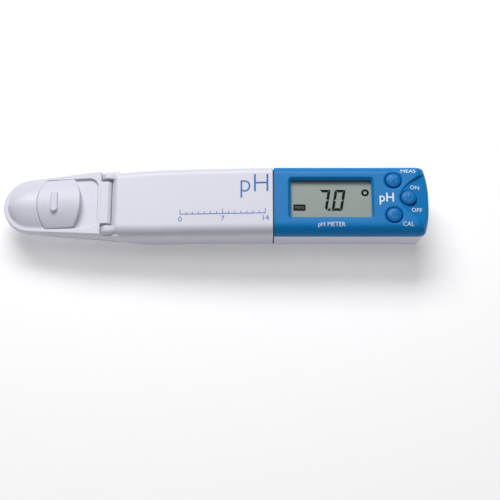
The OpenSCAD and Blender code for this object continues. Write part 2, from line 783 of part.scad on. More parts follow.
module light_shield_cover() color(white) on_cover() difference() {
    union() {
        translate([0, 0, rim - plate_t]) linear_extrude(plate_t) cover_outline();
        intersection() {
            dome(0, 0, 0.5);
            translate([u_tip, -big / 2, 0]) cube([cap_u - u_tip, big, 10]);
        }
        rotate([90, 0, 0]) cylinder(h = 2 * knuckle_half, r = barrel_r, center = true);
        translate([u_rear - eps, -knuckle_half, rim - plate_t])
            cube([-u_rear, 2 * knuckle_half, plate_t - fit]);
    }
    rotate([90, 0, 0]) cylinder(h = big, r = pin_r + 0.06, center = true);
    translate([0, 0, rim - pocket_depth]) linear_extrude(6) pocket_shape();
    // hollow under the fixed part of the dome
    intersection() {
        translate([cap_u - cap_a - 1, 0, rim + 1.1 - hollow_r]) sphere(hollow_r);
        translate([u_tip, -big / 2, -2]) cube([cap_u - cap_a - 1 - u_tip, big, 10]);
    }
    // sampling slit, and the two guide slots of the cap's hooks
    translate([cap_u - cap_a + 1.2, -slit_half, -3]) cube([cap_travel - 1.4, 2 * slit_half, 8]);
    for (s = [-1, 1]) translate([hook_u - 2.6, s * hook_y - 0.6, -3]) cube([5.2 + cap_travel, 1.2, 8]);
}

module slide_cap() color(white) on_cover() {
    floor_w = rim - pocket_depth + 0.08;
    intersection() {
        dome(-0.6, -0.25, 2);
        translate([0, 0, floor_w]) linear_extrude(10) cap_shape();
    }
    translate([cap_u - 1.6, 0, rim + 1.5]) {
        for (s = [-1, 1]) translate([0, s * 3, 0]) cylinder(h = 2.1, r = 1.45);
        translate([-1.45, -3, 0]) cube([2.9, 6, 2.1]);
    }
    for (s = [-1, 1]) {
        translate([hook_u - 2.4, s * hook_y - 0.45, deck - 0.5]) cube([4.8, 0.9, floor_w - deck + 0.6]);
        translate([hook_u - 2.4, s * hook_y - (s < 0 ? 1.1 : 0.45), deck - 0.5]) cube([4.8, 1.55, 0.5]);
    }
}

// ---------- release tongue ----------

module tongue_cut() {
    half = tongue_half + tongue_gap;
    box(tongue_x0, x_joint + 1, half, -1, 1.8);
    translate([tongue_x0, 0, tongue_pivot_z]) rotate([90, 0, 0]) {
        cylinder(h = 2 * half, r = tongue_t / 2 + 0.15, center = true);
        cylinder(h = 2 * (half + 0.9), r = 0.5, center = true);
    }
}

module release_tongue() color(white) difference() {
    union() {
        box(tongue_x0, tongue_x1 - 1.2, tongue_half, tongue_z, tongue_z + tongue_t);
        box(tongue_x0, tongue_x1, tongue_half - 1.2, tongue_z, tongue_z + tongue_t);
        for (s = [-1, 1]) post(tongue_x1 - 1.2, s * (tongue_half - 1.2), tongue_z, tongue_z + tongue_t, 1.2);
        translate([tongue_x0, 0, tongue_pivot_z]) rotate([90, 0, 0]) {
            cylinder(h = 2 * tongue_half, r = tongue_t / 2, center = true);
            cylinder(h = 2 * (tongue_half + 0.9), r = 0.45, center = true);
        }
    }
    post(stub_x, 0, -1, 3, stub_r + 0.3);
    // lead-in groove on the inner side, so that the stub passes below the closing bar
    box(stub_x, tongue_x1 + 1, stub_r + 0.3, tongue_z + 0.55, 3);
    for (i = [0:3]) translate([tongue_x1 - 1 - i * 0.9, 0, tongue_z - 0.15]) rotate([90, 0, 0])
        cylinder(h = 6, r = 0.3, center = true);
}

// ---------- nodes ----------

upper_case();
lower_case();
display_window();
lcd_panel();
lcd_frame();
zebra_strips();
meas_button();
power_button();
cal_button();
keypad_seal();
main_board();
key_switches();
microcontroller();
amplifier_chip();
crystal_can();
chip_capacitors();
chip_resistors();
board_screws();
case_seal();
battery_carrier();
coin_cell_front();
coin_cell_rear();
cell_caps();
positive_contacts();
negative_contacts();
cell_clip();
joint_gasket();
pin_block();
contact_pins();
sensor_housing();
bottom_cover();
chamber_bulkhead();
contact_pads();
sensor_plate();
ph_membrane();
liquid_junction();
well_seal();
thermistor();
electrode_wires();
reference_gel();
hinge_pin();
light_shield_cover();
slide_cap();
release_tongue();
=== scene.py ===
"""Visual model of a pocket pH meter: a display head plugged into a flat-sensor module.

Lengths below are millimetres and become metres when a mesh is made. The shells are implicit
surfaces: a function that is negative inside the plastic, meshed on a grid.
"""

import math

import bmesh
import bpy
import numpy as np
from mathutils import Euler, Matrix, Vector


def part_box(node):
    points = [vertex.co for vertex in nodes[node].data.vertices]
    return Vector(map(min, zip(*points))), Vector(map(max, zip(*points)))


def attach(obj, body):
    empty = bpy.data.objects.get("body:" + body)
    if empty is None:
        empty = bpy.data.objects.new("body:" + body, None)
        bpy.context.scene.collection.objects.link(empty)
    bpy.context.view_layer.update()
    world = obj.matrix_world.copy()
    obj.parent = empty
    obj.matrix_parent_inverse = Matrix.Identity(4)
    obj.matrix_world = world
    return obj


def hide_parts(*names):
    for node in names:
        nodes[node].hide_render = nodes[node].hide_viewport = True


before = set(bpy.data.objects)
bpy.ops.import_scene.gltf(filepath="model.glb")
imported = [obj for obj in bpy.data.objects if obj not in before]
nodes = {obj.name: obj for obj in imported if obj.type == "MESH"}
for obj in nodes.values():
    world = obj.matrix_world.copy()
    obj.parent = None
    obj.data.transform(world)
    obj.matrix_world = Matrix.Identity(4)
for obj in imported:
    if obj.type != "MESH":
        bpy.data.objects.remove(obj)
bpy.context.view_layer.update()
MM = 0.001


def cad_mm(node):
    lo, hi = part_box(node)
    return np.array(lo) / MM, np.array(hi) / MM


# ---------------------------------------------------------------- dimensions

head_lo, head_hi = cad_mm("upper_case")
window_lo, window_hi = cad_mm("display_window")

X_TIP = round(float(cad_mm("light_shield_cover")[0][0]), 2)
X_JOINT = float(cad_mm("sensor_housing")[1][0])
X_HEAD, X_END = float(head_lo[0]), float(head_hi[0])
Z_FACE = float(head_hi[2])
HEAD_HALF = float(head_hi[1])
SIDE_R = 4.4
WALL = 1.8
Z_PART = Z_FACE - SIDE_R
DRAFT = math.radians(12)
SLOPE = math.radians(6.2)
FLARE = math.radians(5.05)
TIP_R = 11.1
X_FRONT = X_TIP + 42.3
X_BEND = X_JOINT - 45
X_HINGE, Z_HINGE = X_FRONT - 2.1, 14.3
X_CAVITY = X_JOINT - 46.6
X_COVER_END = X_TIP + 66
COVER_SPLIT = 2.0
WINDOW = (float(window_lo[0] + window_hi[0]) / 2, 15.4, 7.75)  # centre, half length, half width
BUTTONS = {
    "meas_button": (X_END - 13.8, 7.3),
    "power_button": (X_END - 8.1, 0.0),
    "cal_button": (X_END - 13.8, -7.3),
}
KEY_BODY = {"meas_button": "meas_key", "power_button": "power_key", "cal_button": "cal_key"}
BUTTON_R = 2.95
KEY_TOP = Z_FACE + 0.66
KEY_CROWN = 0.5
KEY_DOME_R = (BUTTON_R**2 + KEY_CROWN**2) / (2 * KEY_CROWN)
SCOOP_X = X_END - 11.3
SCOOP_SLOPE = math.tan(math.radians(10))
SCOOP_CURVE = 0.085
CAP_U, CAP_A, CAP_B = -18.25, 8.45, 10.3
CAP_BULGE, CAP_CORNER = 19.5, 11.5
POCKET_END = -3.5
WELL_U, WELL_A, WELL_R = -20.8, 3.6, 7.6
TONGUE_X0, TONGUE_X1, TONGUE_HALF = X_JOINT - 14, X_JOINT + 16.2, 5.0
STUB_X = X_JOINT + 11.5
STRAP_X = X_END - 6.6

# underside of the sensor module: x, z
BOTTOM = np.array([
    [X_TIP, 8.5],
    [X_TIP + 37, 5.2],
    [X_TIP + 45, 3.2],
    [X_TIP + 52, 1.0],
    [X_TIP + 56, 0.0],
    [X_END, 0.0],
])


def bottom_z(x):
    """Underside of the sensor module, its corners eased over a few millimetres."""
    total = 0
    for d in (-2.0, -1.0, 0.0, 1.0, 2.0):
        total = total + np.interp(x + d, BOTTOM[:, 0], BOTTOM[:, 1])
    return total / 5 + 0.02


# ---------------------------------------------------------------- implicit shapes


def both(a, b, r=0.0):
    """Intersection, with the outer corner rounded to r."""
    if r <= 0:
        return np.maximum(a, b)
    return np.minimum(np.maximum(a, b), -r) + np.hypot(np.maximum(a + r, 0), np.maximum(b + r, 0))


def either(a, b, r=0.0):
    """Union, with the inner corner filled to r."""
    if r <= 0:
        return np.minimum(a, b)
    return np.maximum(np.minimum(a, b), r) - np.hypot(np.maximum(r - a, 0), np.maximum(r - b, 0))


def minus(a, b, r=0.0):
    """a with b cut out, with the rim rounded to r."""
    return both(a, -b, r)


def slab(v, lo, hi):
    return np.maximum(lo - v, v - hi)


def disc(x, y, cx, cy, r):
    return np.hypot(x - cx, y - cy) - r


def rect(x, y, cx, cy, hx, hy, r):
    """Signed distance to a rectangle with corners rounded to r."""
    qx, qy = np.abs(x - cx) - hx + r, np.abs(y - cy) - hy + r
    return np.hypot(np.maximum(qx, 0), np.maximum(qy, 0)) + np.minimum(np.maximum(qx, qy), 0) - r


def stadium(x, y, cx, cy, a, r):
    return np.hypot(np.maximum(np.abs(x - cx) - a, 0), y - cy) - r


def body_section(y, z, w, z_top, z_low, r_top, r_low):
    """Boat-shaped section: rounded top, sides leaning in towards a rounded bottom."""
    side = (np.abs(y) - (w - r_top)) * math.cos(DRAFT) - (z - (z_top - r_top)) * math.sin(DRAFT) - r_top
    return both(both(side, z - z_top, r_top), z_low - z, r_low)


# ---------------------------------------------------------------- meshing


def rounded_top(y, z_top, half, r):
    """Height of a face whose long sides are rounded to r."""
    d = max(0.0, abs(y) - (half - r))
    return z_top - r + math.sqrt(max(0.0, r**2 - d * d))


def spans(*parts):
    """Grid coordinates from (start, end, step) runs that follow each other."""
    out = []
    for a, b, step in parts:
        n = max(1, int(round((b - a) / step)))
        out.append(np.linspace(a, b, n, endpoint=False))
    out.append([parts[-1][1]])
    return np.concatenate(out)


def even(a, b, step):
    return spans((a, b, step))


def skin(name, f, xs, ys, zs, steps=3):
    """A closed mesh of the surface f = 0, one vertex in each grid cell that it crosses."""
    v = f(xs[:, None, None], ys[None, :, None], zs[None, None, :])
    v = np.broadcast_to(v, (len(xs), len(ys), len(zs))).astype(float).copy()
    v[np.abs(v) < 1e-9] = 1e-9
    inside = v < 0
    for ax in range(3):
        ends = np.take(inside, [0, -1], axis=ax)
        if ends.any():
            raise SystemExit(f"{name}: the grid cuts the surface along axis {ax}")
    nx, ny, nz = (n - 1 for n in v.shape)
    total = np.zeros((nx, ny, nz, 3))
    count = np.zeros((nx, ny, nz))
    axes = (xs, ys, zs)
    for ax in range(3):
        a = [slice(None)] * 3
        b = [slice(None)] * 3
        a[ax], b[ax] = slice(0, -1), slice(1, None)
        va, vb = v[tuple(a)], v[tuple(b)]
        cross = (va < 0) != (vb < 0)
        idx = np.argwhere(cross)
        if not len(idx):
            continue
        t = va[cross] / (va[cross] - vb[cross])
        p = np.stack([axes[k][idx[:, k]] for k in range(3)], 1)
        p[:, ax] += t * (axes[ax][idx[:, ax] + 1] - axes[ax][idx[:, ax]])
        others = [k for k in range(3) if k != ax]
        for da in (0, -1):
            for db in (0, -1):
                cell = idx.copy()
                cell[:, others[0]] += da
                cell[:, others[1]] += db
                np.add.at(total, tuple(cell.T), p)
                np.add.at(count, tuple(cell.T), 1)
    used = count > 0
    index = -np.ones(count.shape, int)
    index[used] = np.arange(used.sum())
    pts = total[used] / count[used][:, None]
    quads = []
    for ax in range(3):
        a = [slice(None)] * 3
        b = [slice(None)] * 3
        a[ax], b[ax] = slice(0, -1), slice(1, None)
        cross = (v[tuple(a)] < 0) != (v[tuple(b)] < 0)
        idx = np.argwhere(cross)
        if not len(idx):
            continue
        rising = v[tuple(a)][cross] < 0
        o1, o2 = [k for k in range(3) if k != ax]
        corners = []
        for d1, d2 in ((0, 0), (-1, 0), (-1, -1), (0, -1)):
            cell = idx.copy()
            cell[:, o1] += d1
            cell[:, o2] += d2
            corners.append(index[tuple(cell.T)])
        q = np.stack(corners, 1)
        flip = rising if ax != 1 else ~rising
        q[~flip] = q[~flip][:, ::-1]
        quads.append(q)
    quads = np.concatenate(quads)
    reach = 0.6 * min(np.diff(xs).min(), np.diff(ys).min(), np.diff(zs).min())
    h = 0.01
    for _ in range(steps):
        x, y, z = pts.T
        val = f(x, y, z)
        g = np.stack([
            f(x + h, y, z) - f(x - h, y, z),
            f(x, y + h, z) - f(x, y - h, z),
            f(x, y, z + h) - f(x, y, z - h),
        ], 1) / (2 * h)
        g2 = np.maximum((g * g).sum(1), 0.05)
        move = -(val / g2)[:, None] * g
        size = np.linalg.norm(move, axis=1)
        move *= np.minimum(1, reach / np.maximum(size, 1e-9))[:, None]
        pts = pts + move
    return mesh(name, pts * MM, quads)


def mesh(name, pts, faces):
    """A smooth-shaded mesh object; pts are in metres."""
    data = bpy.data.meshes.new(name)
    pts = np.asarray(pts, float)
    faces = [tuple(int(i) for i in q) for q in faces]
    data.from_pydata([tuple(p) for p in pts], [], faces)
    data.validate()
    data.update()
    obj = bpy.data.objects.new(name, data)
    bpy.context.scene.collection.objects.link(obj)
    data.polygons.foreach_set("use_smooth", [True] * len(data.polygons))
    return obj


def finish_piece(obj, body, material, slot, *stands_for):
    """Gives a piece its material, the body that it rides and the CAD nodes that it stands for."""
    obj.data.materials.clear()
    obj.data.materials.append(material)
    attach(obj, body)
    if stands_for:
        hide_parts(*stands_for)
    return obj


# ---------------------------------------------------------------- materials


def material(name, color, rough=0.4, metal=0.0, grain=0.0, grain_scale=900.0, tint=0.03, rough_var=0.06,
             coat=0.0, coat_rough=0.2, subsurface=0.0, wave=0.0, ior=1.46, alpha=1.0, specular=0.5, glow=0.0):
    """Principled plastic or metal with noise in its colour, roughness and fine bump."""
    m = bpy.data.materials.new(name)
    m.use_nodes = True
    t = m.node_tree
    bsdf = t.nodes["Principled BSDF"]
    bsdf.inputs["Metallic"].default_value = metal
    bsdf.inputs["IOR"].default_value = ior
    bsdf.inputs["Coat Weight"].default_value = coat
    bsdf.inputs["Coat Roughness"].default_value = coat_rough
    bsdf.inputs["Subsurface Weight"].default_value = subsurface
    bsdf.inputs["Subsurface Radius"].default_value = (0.0012, 0.001, 0.001)
    bsdf.inputs["Subsurface Scale"].default_value = 1.0
    bsdf.inputs["Specular IOR Level"].default_value = specular
    bsdf.inputs["Emission Color"].default_value = (1, 1, 1, 1)
    bsdf.inputs["Emission Strength"].default_value = glow
    bsdf.inputs["Alpha"].default_value = alpha
    coord = t.nodes.new("ShaderNodeTexCoord")
    slow = t.nodes.new("ShaderNodeTexNoise")
    slow.inputs["Scale"].default_value = 60.0
    slow.inputs["Detail"].default_value = 5.0
    t.links.new(coord.outputs["Object"], slow.inputs["Vector"])
    fine = t.nodes.new("ShaderNodeTexNoise")
    fine.inputs["Scale"].default_value = grain_scale
    fine.inputs["Detail"].default_value = 3.0
    t.links.new(coord.outputs["Object"], fine.inputs["Vector"])
    ramp = t.nodes.new("ShaderNodeMix")
    ramp.data_type = "RGBA"
    ramp.inputs["A"].default_value = (*[c * (1 - tint) for c in color], 1)
    ramp.inputs["B"].default_value = (*[min(1, c * (1 + tint)) for c in color], 1)
    t.links.new(slow.outputs["Fac"], ramp.inputs["Factor"])
    t.links.new(ramp.outputs["Result"], bsdf.inputs["Base Color"])
    span = t.nodes.new("ShaderNodeMapRange")
    span.inputs["To Min"].default_value = max(0.02, rough - rough_var)
    span.inputs["To Max"].default_value = min(1.0, rough + rough_var)
    t.links.new(fine.outputs["Fac"], span.inputs["Value"])
    t.links.new(span.outputs["Result"], bsdf.inputs["Roughness"])
    if grain > 0:
        bump = t.nodes.new("ShaderNodeBump")
        bump.inputs["Strength"].default_value = grain
        bump.inputs["Distance"].default_value = 0.00005
        t.links.new(fine.outputs["Fac"], bump.inputs["Height"])
        t.links.new(bump.outputs["Normal"], bsdf.inputs["Normal"])
    if wave > 0:
        brush = t.nodes.new("ShaderNodeTexWave")
        brush.inputs["Scale"].default_value = wave
        brush.inputs["Distortion"].default_value = 6.0
        brush.inputs["Detail"].default_value = 3.0
        t.links.new(coord.outputs["Object"], brush.inputs["Vector"])
        t.links.new(brush.outputs["Fac"], span.inputs["Value"])
    return m


WHITE = (0.70, 0.70, 0.79)
BLUE = (0.001, 0.200, 0.54)
MAT = {
    "white": material("white_abs", WHITE, rough=0.36, grain=0.25, subsurface=0.15, coat=0.15, coat_rough=0.3),
    "white_low": material("white_abs_low", (0.72, 0.72, 0.81), rough=0.42, grain=0.35, subsurface=0.15),
    "cap": material("white_abs_cap", (0.70, 0.70, 0.80), rough=0.4, grain=0.25, subsurface=0.15),
    "blue": material("blue_abs", BLUE, rough=0.36, grain=0.2, specular=0.22),
    # the keys' blue is darker than the case's blue: the darkening is painted shade
    "key": material("blue_key_painted_shade", (0.001, 0.150, 0.46), rough=0.36, grain=0.15, specular=0.22),
    # the key legends' blue is lighter than the keys' blue: the lightness is a painted highlight
    "legend": material("key_legend_painted_highlight", (0.01, 0.27, 0.66), rough=0.36, grain=0.1, specular=0.22),
    "mark": material("stamped_mark", (0.30, 0.30, 0.31), rough=0.4, metal=1.0, grain=0.1),
    "print_white": material("print_white", (0.86, 0.90, 0.95), rough=0.5, grain=0.1),
    "print_blue": material("print_blue", (0.02, 0.15, 0.48), rough=0.5, grain=0.1),
    "lcd": material("lcd_glass", (0.36, 0.42, 0.38), rough=0.35, grain=0.05, tint=0.05),
    "segment_faint": material("lcd_segment_text", (0.10, 0.12, 0.11), rough=0.4, tint=0.08),
    "segment": material("lcd_segment", (0.003, 0.003, 0.004), rough=0.5, tint=0.08, specular=0.02),
    "black": material("black_plastic", (0.02, 0.02, 0.022), rough=0.5, grain=0.3),
    "rubber": material("grey_rubber", (0.045, 0.05, 0.06), rough=0.7, grain=0.5),
    "board": material("solder_mask", (0.01, 0.10, 0.035), rough=0.3, grain=0.25, tint=0.15),
    "gold": material("gold_plate", (0.83, 0.60, 0.22), rough=0.25, metal=1.0, grain=0.1),
    "steel": material("plated_steel", (0.62, 0.62, 0.61), rough=0.28, metal=1.0, grain=0.1, wave=900.0),
    "cell": material("cell_can", (0.66, 0.66, 0.65), rough=0.24, metal=1.0, grain=0.1, wave=600.0),
    "chip": material("moulded_package", (0.02, 0.02, 0.022), rough=0.6, grain=0.5),
    "capacitor": material("capacitor_ceramic", (0.36, 0.22, 0.10), rough=0.45, grain=0.2),
    "resistor": material("resistor_body", (0.03, 0.03, 0.035), rough=0.35, grain=0.2),
    "gel": material("reference_gel", (0.72, 0.78, 0.82), rough=0.2, subsurface=0.5),
    "plate": material("sensor_plate", (0.42, 0.62, 0.80), rough=0.2, coat=0.4, subsurface=0.2),
    "membrane": material("ph_glass", (0.50, 0.66, 0.78), rough=0.08, coat=0.6),
    "junction": material("porous_ceramic", (0.80, 0.77, 0.68), rough=0.85, grain=1.0, grain_scale=2500.0),
    "epoxy": material("epoxy_bead", (0.02, 0.02, 0.02), rough=0.2, grain=0.1),
}
MAT["lens"] = material("clear_window", (0.10, 0.12, 0.12), rough=0.06, alpha=0.06, tint=0.01, rough_var=0.02)

# ---------------------------------------------------------------- sensor module

# half width of the sleeve: x, y
SLEEVE_W = np.array([
    [X_FRONT, 13.2],
    [X_FRONT + 3, 13.45],
    [X_FRONT + 10, 13.8],
    [X_BEND, 14.0],
    [X_JOINT, 14.2],
])
SLEEVE_R = 4.5
RIM_W = 2.0


def flared_plan(v, y, centre):
    """Signed distance to the tip's plan: a round end whose sides flare towards the hinge."""
    start = centre - TIP_R * math.sin(FLARE)
    round_end = np.hypot(v - centre, y) - TIP_R
    side = (np.abs(y) - TIP_R * math.cos(FLARE)) * math.cos(FLARE) - (v - start) * math.sin(FLARE)
    return np.where(v < centre - np.abs(y) * math.tan(FLARE), round_end, side)


def deck_z(x):
    return Z_HINGE + (x - X_HINGE) * math.tan(SLOPE)


def to_cover(x, z):
    """(u, w) in the frame of the light-shield cover, whose origin is the hinge axis."""
    dx, dz = x - X_HINGE, z - Z_HINGE
    return dx * math.cos(SLOPE) + dz * math.sin(SLOPE), dz * math.cos(SLOPE) - dx * math.sin(SLOPE)


def sleeve_top(x):
    back = Z_FACE - 0.2 - 1.8 * (X_JOINT - x) / (X_JOINT - X_BEND)
    front = 18 + (x - X_BEND) * math.tan(SLOPE)
    k = 1.2
    h = np.maximum(k - np.abs(back - front), 0) / k
    return np.minimum(back, front) - h * h * k / 4


def sleeve_solid(x, y, z):
    w = np.interp(x, SLEEVE_W[:, 0], SLEEVE_W[:, 1])
    body = body_section(y, z, w, sleeve_top(x), bottom_z(x), SLEEVE_R, 2.6)
    nose = X_FRONT - x
    top_nose = both(z - sleeve_top(x), nose, 2.1)
    body = np.maximum(both(body, nose, 1.2), top_nose)
    return both(body, x - X_JOINT, 0.25)


def tip_solid(x, y, z):
    zl = bottom_z(x)
    lean = (deck_z(x) - z) * math.tan(DRAFT)
    side = (flared_plan(x, y, X_TIP + TIP_R) + 0.1 + lean) * math.cos(DRAFT)
    f = both(side, z - deck_z(x), 0.15)
    f = both(f, zl - z, 1.3)
    return both(f, x - (X_FRONT + 2.5))


def spigot_section(y, z, grow):
    return body_section(y, z, 12.2 + grow, 16 + grow, 2.6 - grow, 3 + grow, 2.4 + grow)


def cover_top(x):
    """Top line of the bottom cover, low at the tip."""
    return bottom_z(x) + np.interp(x, [X_TIP, X_TIP + 27], [0.75, COVER_SPLIT])


def lower_region(x, z, gap=0.0):
    """Negative inside the space of the bottom cover."""
    return both(z - cover_top(x) + gap, x - X_COVER_END + gap, 0.3)


def hinge_ears(x, y, z):
    arch = (np.hypot((x - X_HINGE - 0.9) / 2.9, (z - Z_HINGE) / 1.9) - 1) * 1.9
    plan = either(disc(x, z, X_HINGE, Z_HINGE, 1.98), np.maximum(arch, Z_HINGE - 0.5 - z), 0.3)
    root = np.maximum(slab(x, X_HINGE - 1.98, X_HINGE + 3.8), slab(z, Z_HINGE - 3, Z_HINGE))
    f = both(np.minimum(plan, root), np.abs(y) - 13.18, 1.6)
    return both(f, 9.92 - np.abs(y), 0.15)


def whole_module(x, y, z, grow=0.0):
    tip = tip_solid(x, y, z) - grow
    groove = both(disc(x, z, X_HINGE, Z_HINGE, 1.85), np.abs(y) - 9.9)
    tip = minus(tip, groove, 0.12)
    return either(either(tip, sleeve_solid(x, y, z) - grow, 0.35), hinge_ears(x, y, z), 0.12)


def housing(x, y, z):
    """The sleeve and its tip, with the spigot's cavity, the sensor well and the cap's pocket."""
    f = whole_module(x, y, z)
    f = minus(f, lower_region(x, z), 0.2)
    cavity = both(spigot_section(y, z, 0.2), X_CAVITY - x, 0.6)
    f = minus(f, cavity, 0.2)
    u, w = to_cover(x, z)
    well = both(stadium(u, y, WELL_U, 0, WELL_A, WELL_R), -1.6 - w, 0.1)
    step = both(stadium(u, y, WELL_U, 0, WELL_A, WELL_R + 0.9), -0.4 - w, 0.1)
    slot = both(rect(u, y, CAP_U + 0.5, 0, 6, 8, 1.0), -0.7 - w, 0.1)
    f = minus(f, np.minimum(np.minimum(well, step), slot), 0.12)
    return minus(f, tongue_recess(x, y, z), 0.15)


def tongue_recess(x, y, z):
    end = disc(x, z, TONGUE_X0, 0.8, 0.85)
    way = both(slab(x, TONGUE_X0, TONGUE_X1 + 0.4), z - 1.8)
    return both(np.minimum(end, way), np.abs(y) - TONGUE_HALF - 0.2)


def base_cover(x, y, z):
    f = np.maximum(whole_module(x, y, z, 0.12), bottom_z(x) - z)
    f = both(f, lower_region(x, z, 0.14), 0.55)
    inner = both(rect(x, y, X_FRONT + 6, 0, 12, 9, 1.5), bottom_z(x) + 1.2 - z, 0.3)
    return minus(f, inner, 0.1)


MODULE_X = spans(
    (X_TIP - 0.6, X_TIP + 3, 0.3),
    (X_TIP + 3, X_FRONT - 6, 0.45),
    (X_FRONT - 6, X_FRONT + 6, 0.22),
    (X_FRONT + 6, X_JOINT - 15, 0.9),
    (X_JOINT - 15, X_JOINT - 13, 0.3),
    (X_JOINT - 13, X_JOINT - 2, 0.7),
    (X_JOINT - 2, X_JOINT + 0.4, 0.2),
)
BASE_X = spans(
    (X_TIP - 0.6, X_TIP + 3, 0.3),
    (X_TIP + 3, X_COVER_END - 1.5, 0.5),
    (X_COVER_END - 1.5, X_COVER_END + 0.6, 0.25),
)
MODULE_Y = even(-14.9, 14.9, 0.3)
MODULE_Z = even(-0.5, 20.3, 0.26)
BASE_Z = even(-0.5, 11.5, 0.26)

shell = skin("sensor_shell", housing, MODULE_X, MODULE_Y, MODULE_Z)
finish_piece(shell, "sensor", MAT["white"], "sensor_housing", "sensor_housing")
base = skin("sensor_base", base_cover, BASE_X, MODULE_Y, BASE_Z)
finish_piece(base, "sensor", MAT["white_low"], "bottom_cover", "bottom_cover")

# ---------------------------------------------------------------- light-shield cover and slide cap

RIM = 1.7
PLATE_T = 1.6
U_TIP = (X_TIP - X_HINGE + RIM * math.sin(SLOPE)) / math.cos(SLOPE)
U_ROUND = U_TIP + TIP_R


def dome_height(u, y, inset=0.0, extra=0.0):
    """Height of the dome above the rim: it grows from the rim inwards, flat in the middle."""
    half = np.where(
        u < U_ROUND - TIP_R * math.sin(FLARE),
        np.sqrt(np.maximum((TIP_R - RIM_W - inset) ** 2 - (u - U_ROUND) ** 2, 0)),
        (TIP_R - RIM_W - inset) * math.cos(FLARE) + (u - U_ROUND + TIP_R * math.sin(FLARE)) * math.tan(FLARE),
    )
    ref = (TIP_R - RIM_W) * math.cos(FLARE) + (CAP_U - U_ROUND + TIP_R * math.sin(FLARE)) * math.tan(FLARE)
    t = np.abs(y) / np.maximum(half, 0.05)
    crown = 0.35 + extra + 2.2 * (half / ref) ** 0.7
    return np.where(t < 1, crown * (1 - t * t), -crown * 2 * (t - 1))


def cap_outline(u, y, r=0.3):
    """Barrel shape: bulging ends, straight sides, rounded corners."""
    front = np.hypot(u - (CAP_U + CAP_BULGE - CAP_A), y) - CAP_BULGE
    rear = np.hypot(u - (CAP_U + CAP_A - CAP_BULGE), y) - CAP_BULGE
    corner = np.hypot(u - CAP_U, y) - CAP_CORNER
    return both(both(np.maximum(front, rear), np.abs(y) - CAP_B, r), corner, r)


def pocket(u, y, grow=0.1):
    rear = rect(u, y, (CAP_U + POCKET_END) / 2, 0, (POCKET_END - CAP_U) / 2, CAP_B + grow, 3.5)
    return np.minimum(cap_outline(u, y) - grow, rear)


def shield(u, y, w):
    """The hinged cover: rim plate, dome, hinge barrel, the cap's pocket and the sampling slit."""
    plan = flared_plan(u, y, U_ROUND)
    plate = both(both(plan, u + 2.3, 0.3), slab(w, RIM - PLATE_T, RIM), 0.35)
    dome_side = np.maximum(plan + RIM_W * 0.96, u - CAP_U)
    dome = both((w - RIM - dome_height(u, y)) * 0.8, dome_side, 0.15)
    dome = np.maximum(dome, RIM - 0.8 - w)
    f = either(plate, dome, 0.25)
    barrel = both(np.hypot(u, w) - 1.6, np.abs(y) - 8.9, 0.2)
    web = both(both(slab(u, -2.6, 0), np.abs(y) - 8.9, 0.1), slab(w, RIM - PLATE_T, 1.6))
    f = either(f, either(barrel, web, 0.05), 0.2)
    f = minus(f, np.hypot(u, w) - 0.66, 0.05)
    f = minus(f, np.maximum(pocket(u, y), 0.8 - w), 0.15)
    dent_u, dent_r = CAP_U - CAP_A - 1, 10.4
    ball = np.sqrt((u - dent_u) ** 2 + y**2 + (w - (RIM + 1.1 - dent_r)) ** 2) - dent_r
    f = minus(f, np.maximum(ball, u - dent_u), 0.15)
    slit = rect(u, y, CAP_U - CAP_A + 1.2 + 2.3, 0, 2.3, 5, 0.4)
    guides = rect(u, np.abs(y), CAP_U + 0.5, 6.5, 5.6, 0.6, 0.3)
    return minus(f, np.minimum(slit, guides), 0.05)


def cap(u, y, w):
    """The slide cap: a lid with a finger rib, and two hooks that run in the cover's guides."""
    outline = cap_outline(u, y)
    top = (w - RIM - dome_height(u, y, -0.6, 0.25)) * 0.8
    f = both(top, outline, 0.4)
    f = both(f, 0.88 - w, 0.15)
    rib_plan = stadium(y, u, 0, CAP_U - 1.6, 3.0, 1.42)
    rib = both(rib_plan, np.maximum(w - RIM - 3.58, RIM + 1 - w), 0.5)
    f = either(f, rib, 0.12)
    reach = slab(u, CAP_U - 4.9, CAP_U - 0.1)
    stem = np.maximum(slab(np.abs(y), 6.05, 6.95), slab(w, -0.48, 1.1))
    foot = np.maximum(slab(np.abs(y), 6.05, 7.6), slab(w, -0.48, -0.02))
    return np.minimum(f, np.maximum(reach, np.minimum(stem, foot)))


def tilt(obj):
    """Turns a mesh made in the cover's own frame into the row frame."""
    turn = Euler((0, -SLOPE, 0)).to_matrix().to_4x4()
    turn.translation = Vector((X_HINGE * MM, 0, Z_HINGE * MM))
    obj.data.transform(turn)
    obj.data.update()
    return obj


SHIELD_U = spans((U_TIP - 0.5, -4.5, 0.25), (-4.5, 2.2, 0.2))
CAP_GRID_U = even(CAP_U - CAP_A - 0.6, CAP_U + CAP_A + 0.6, 0.2)
CAP_GRID_Y = even(-CAP_B - 0.6, CAP_B + 0.6, 0.2)

cover = tilt(skin("shield_cover", shield, SHIELD_U, even(-13.9, 13.9, 0.25), even(-2.2, 5.2, 0.16)))
finish_piece(cover, "shield", MAT["white"], "light_shield_cover", "light_shield_cover")
lid = tilt(skin("sliding_cap", cap, CAP_GRID_U, CAP_GRID_Y, even(-0.86, 5.6, 0.16)))
finish_piece(lid, "cap", MAT["cap"], "slide_cap", "slide_cap")

# ---------------------------------------------------------------- display head

END_R = 50.0


def head_plan(x, y):
    f = rect(x, y, X_END - 40, 0, 40, HEAD_HALF - 0.02, 5.0)
    return both(f, np.hypot(x - (X_END - END_R), y) - END_R, 0.6)


def scoop_edge(y):
    """Front edge of the scoop round the power button."""
    return SCOOP_X + SCOOP_CURVE * y * y


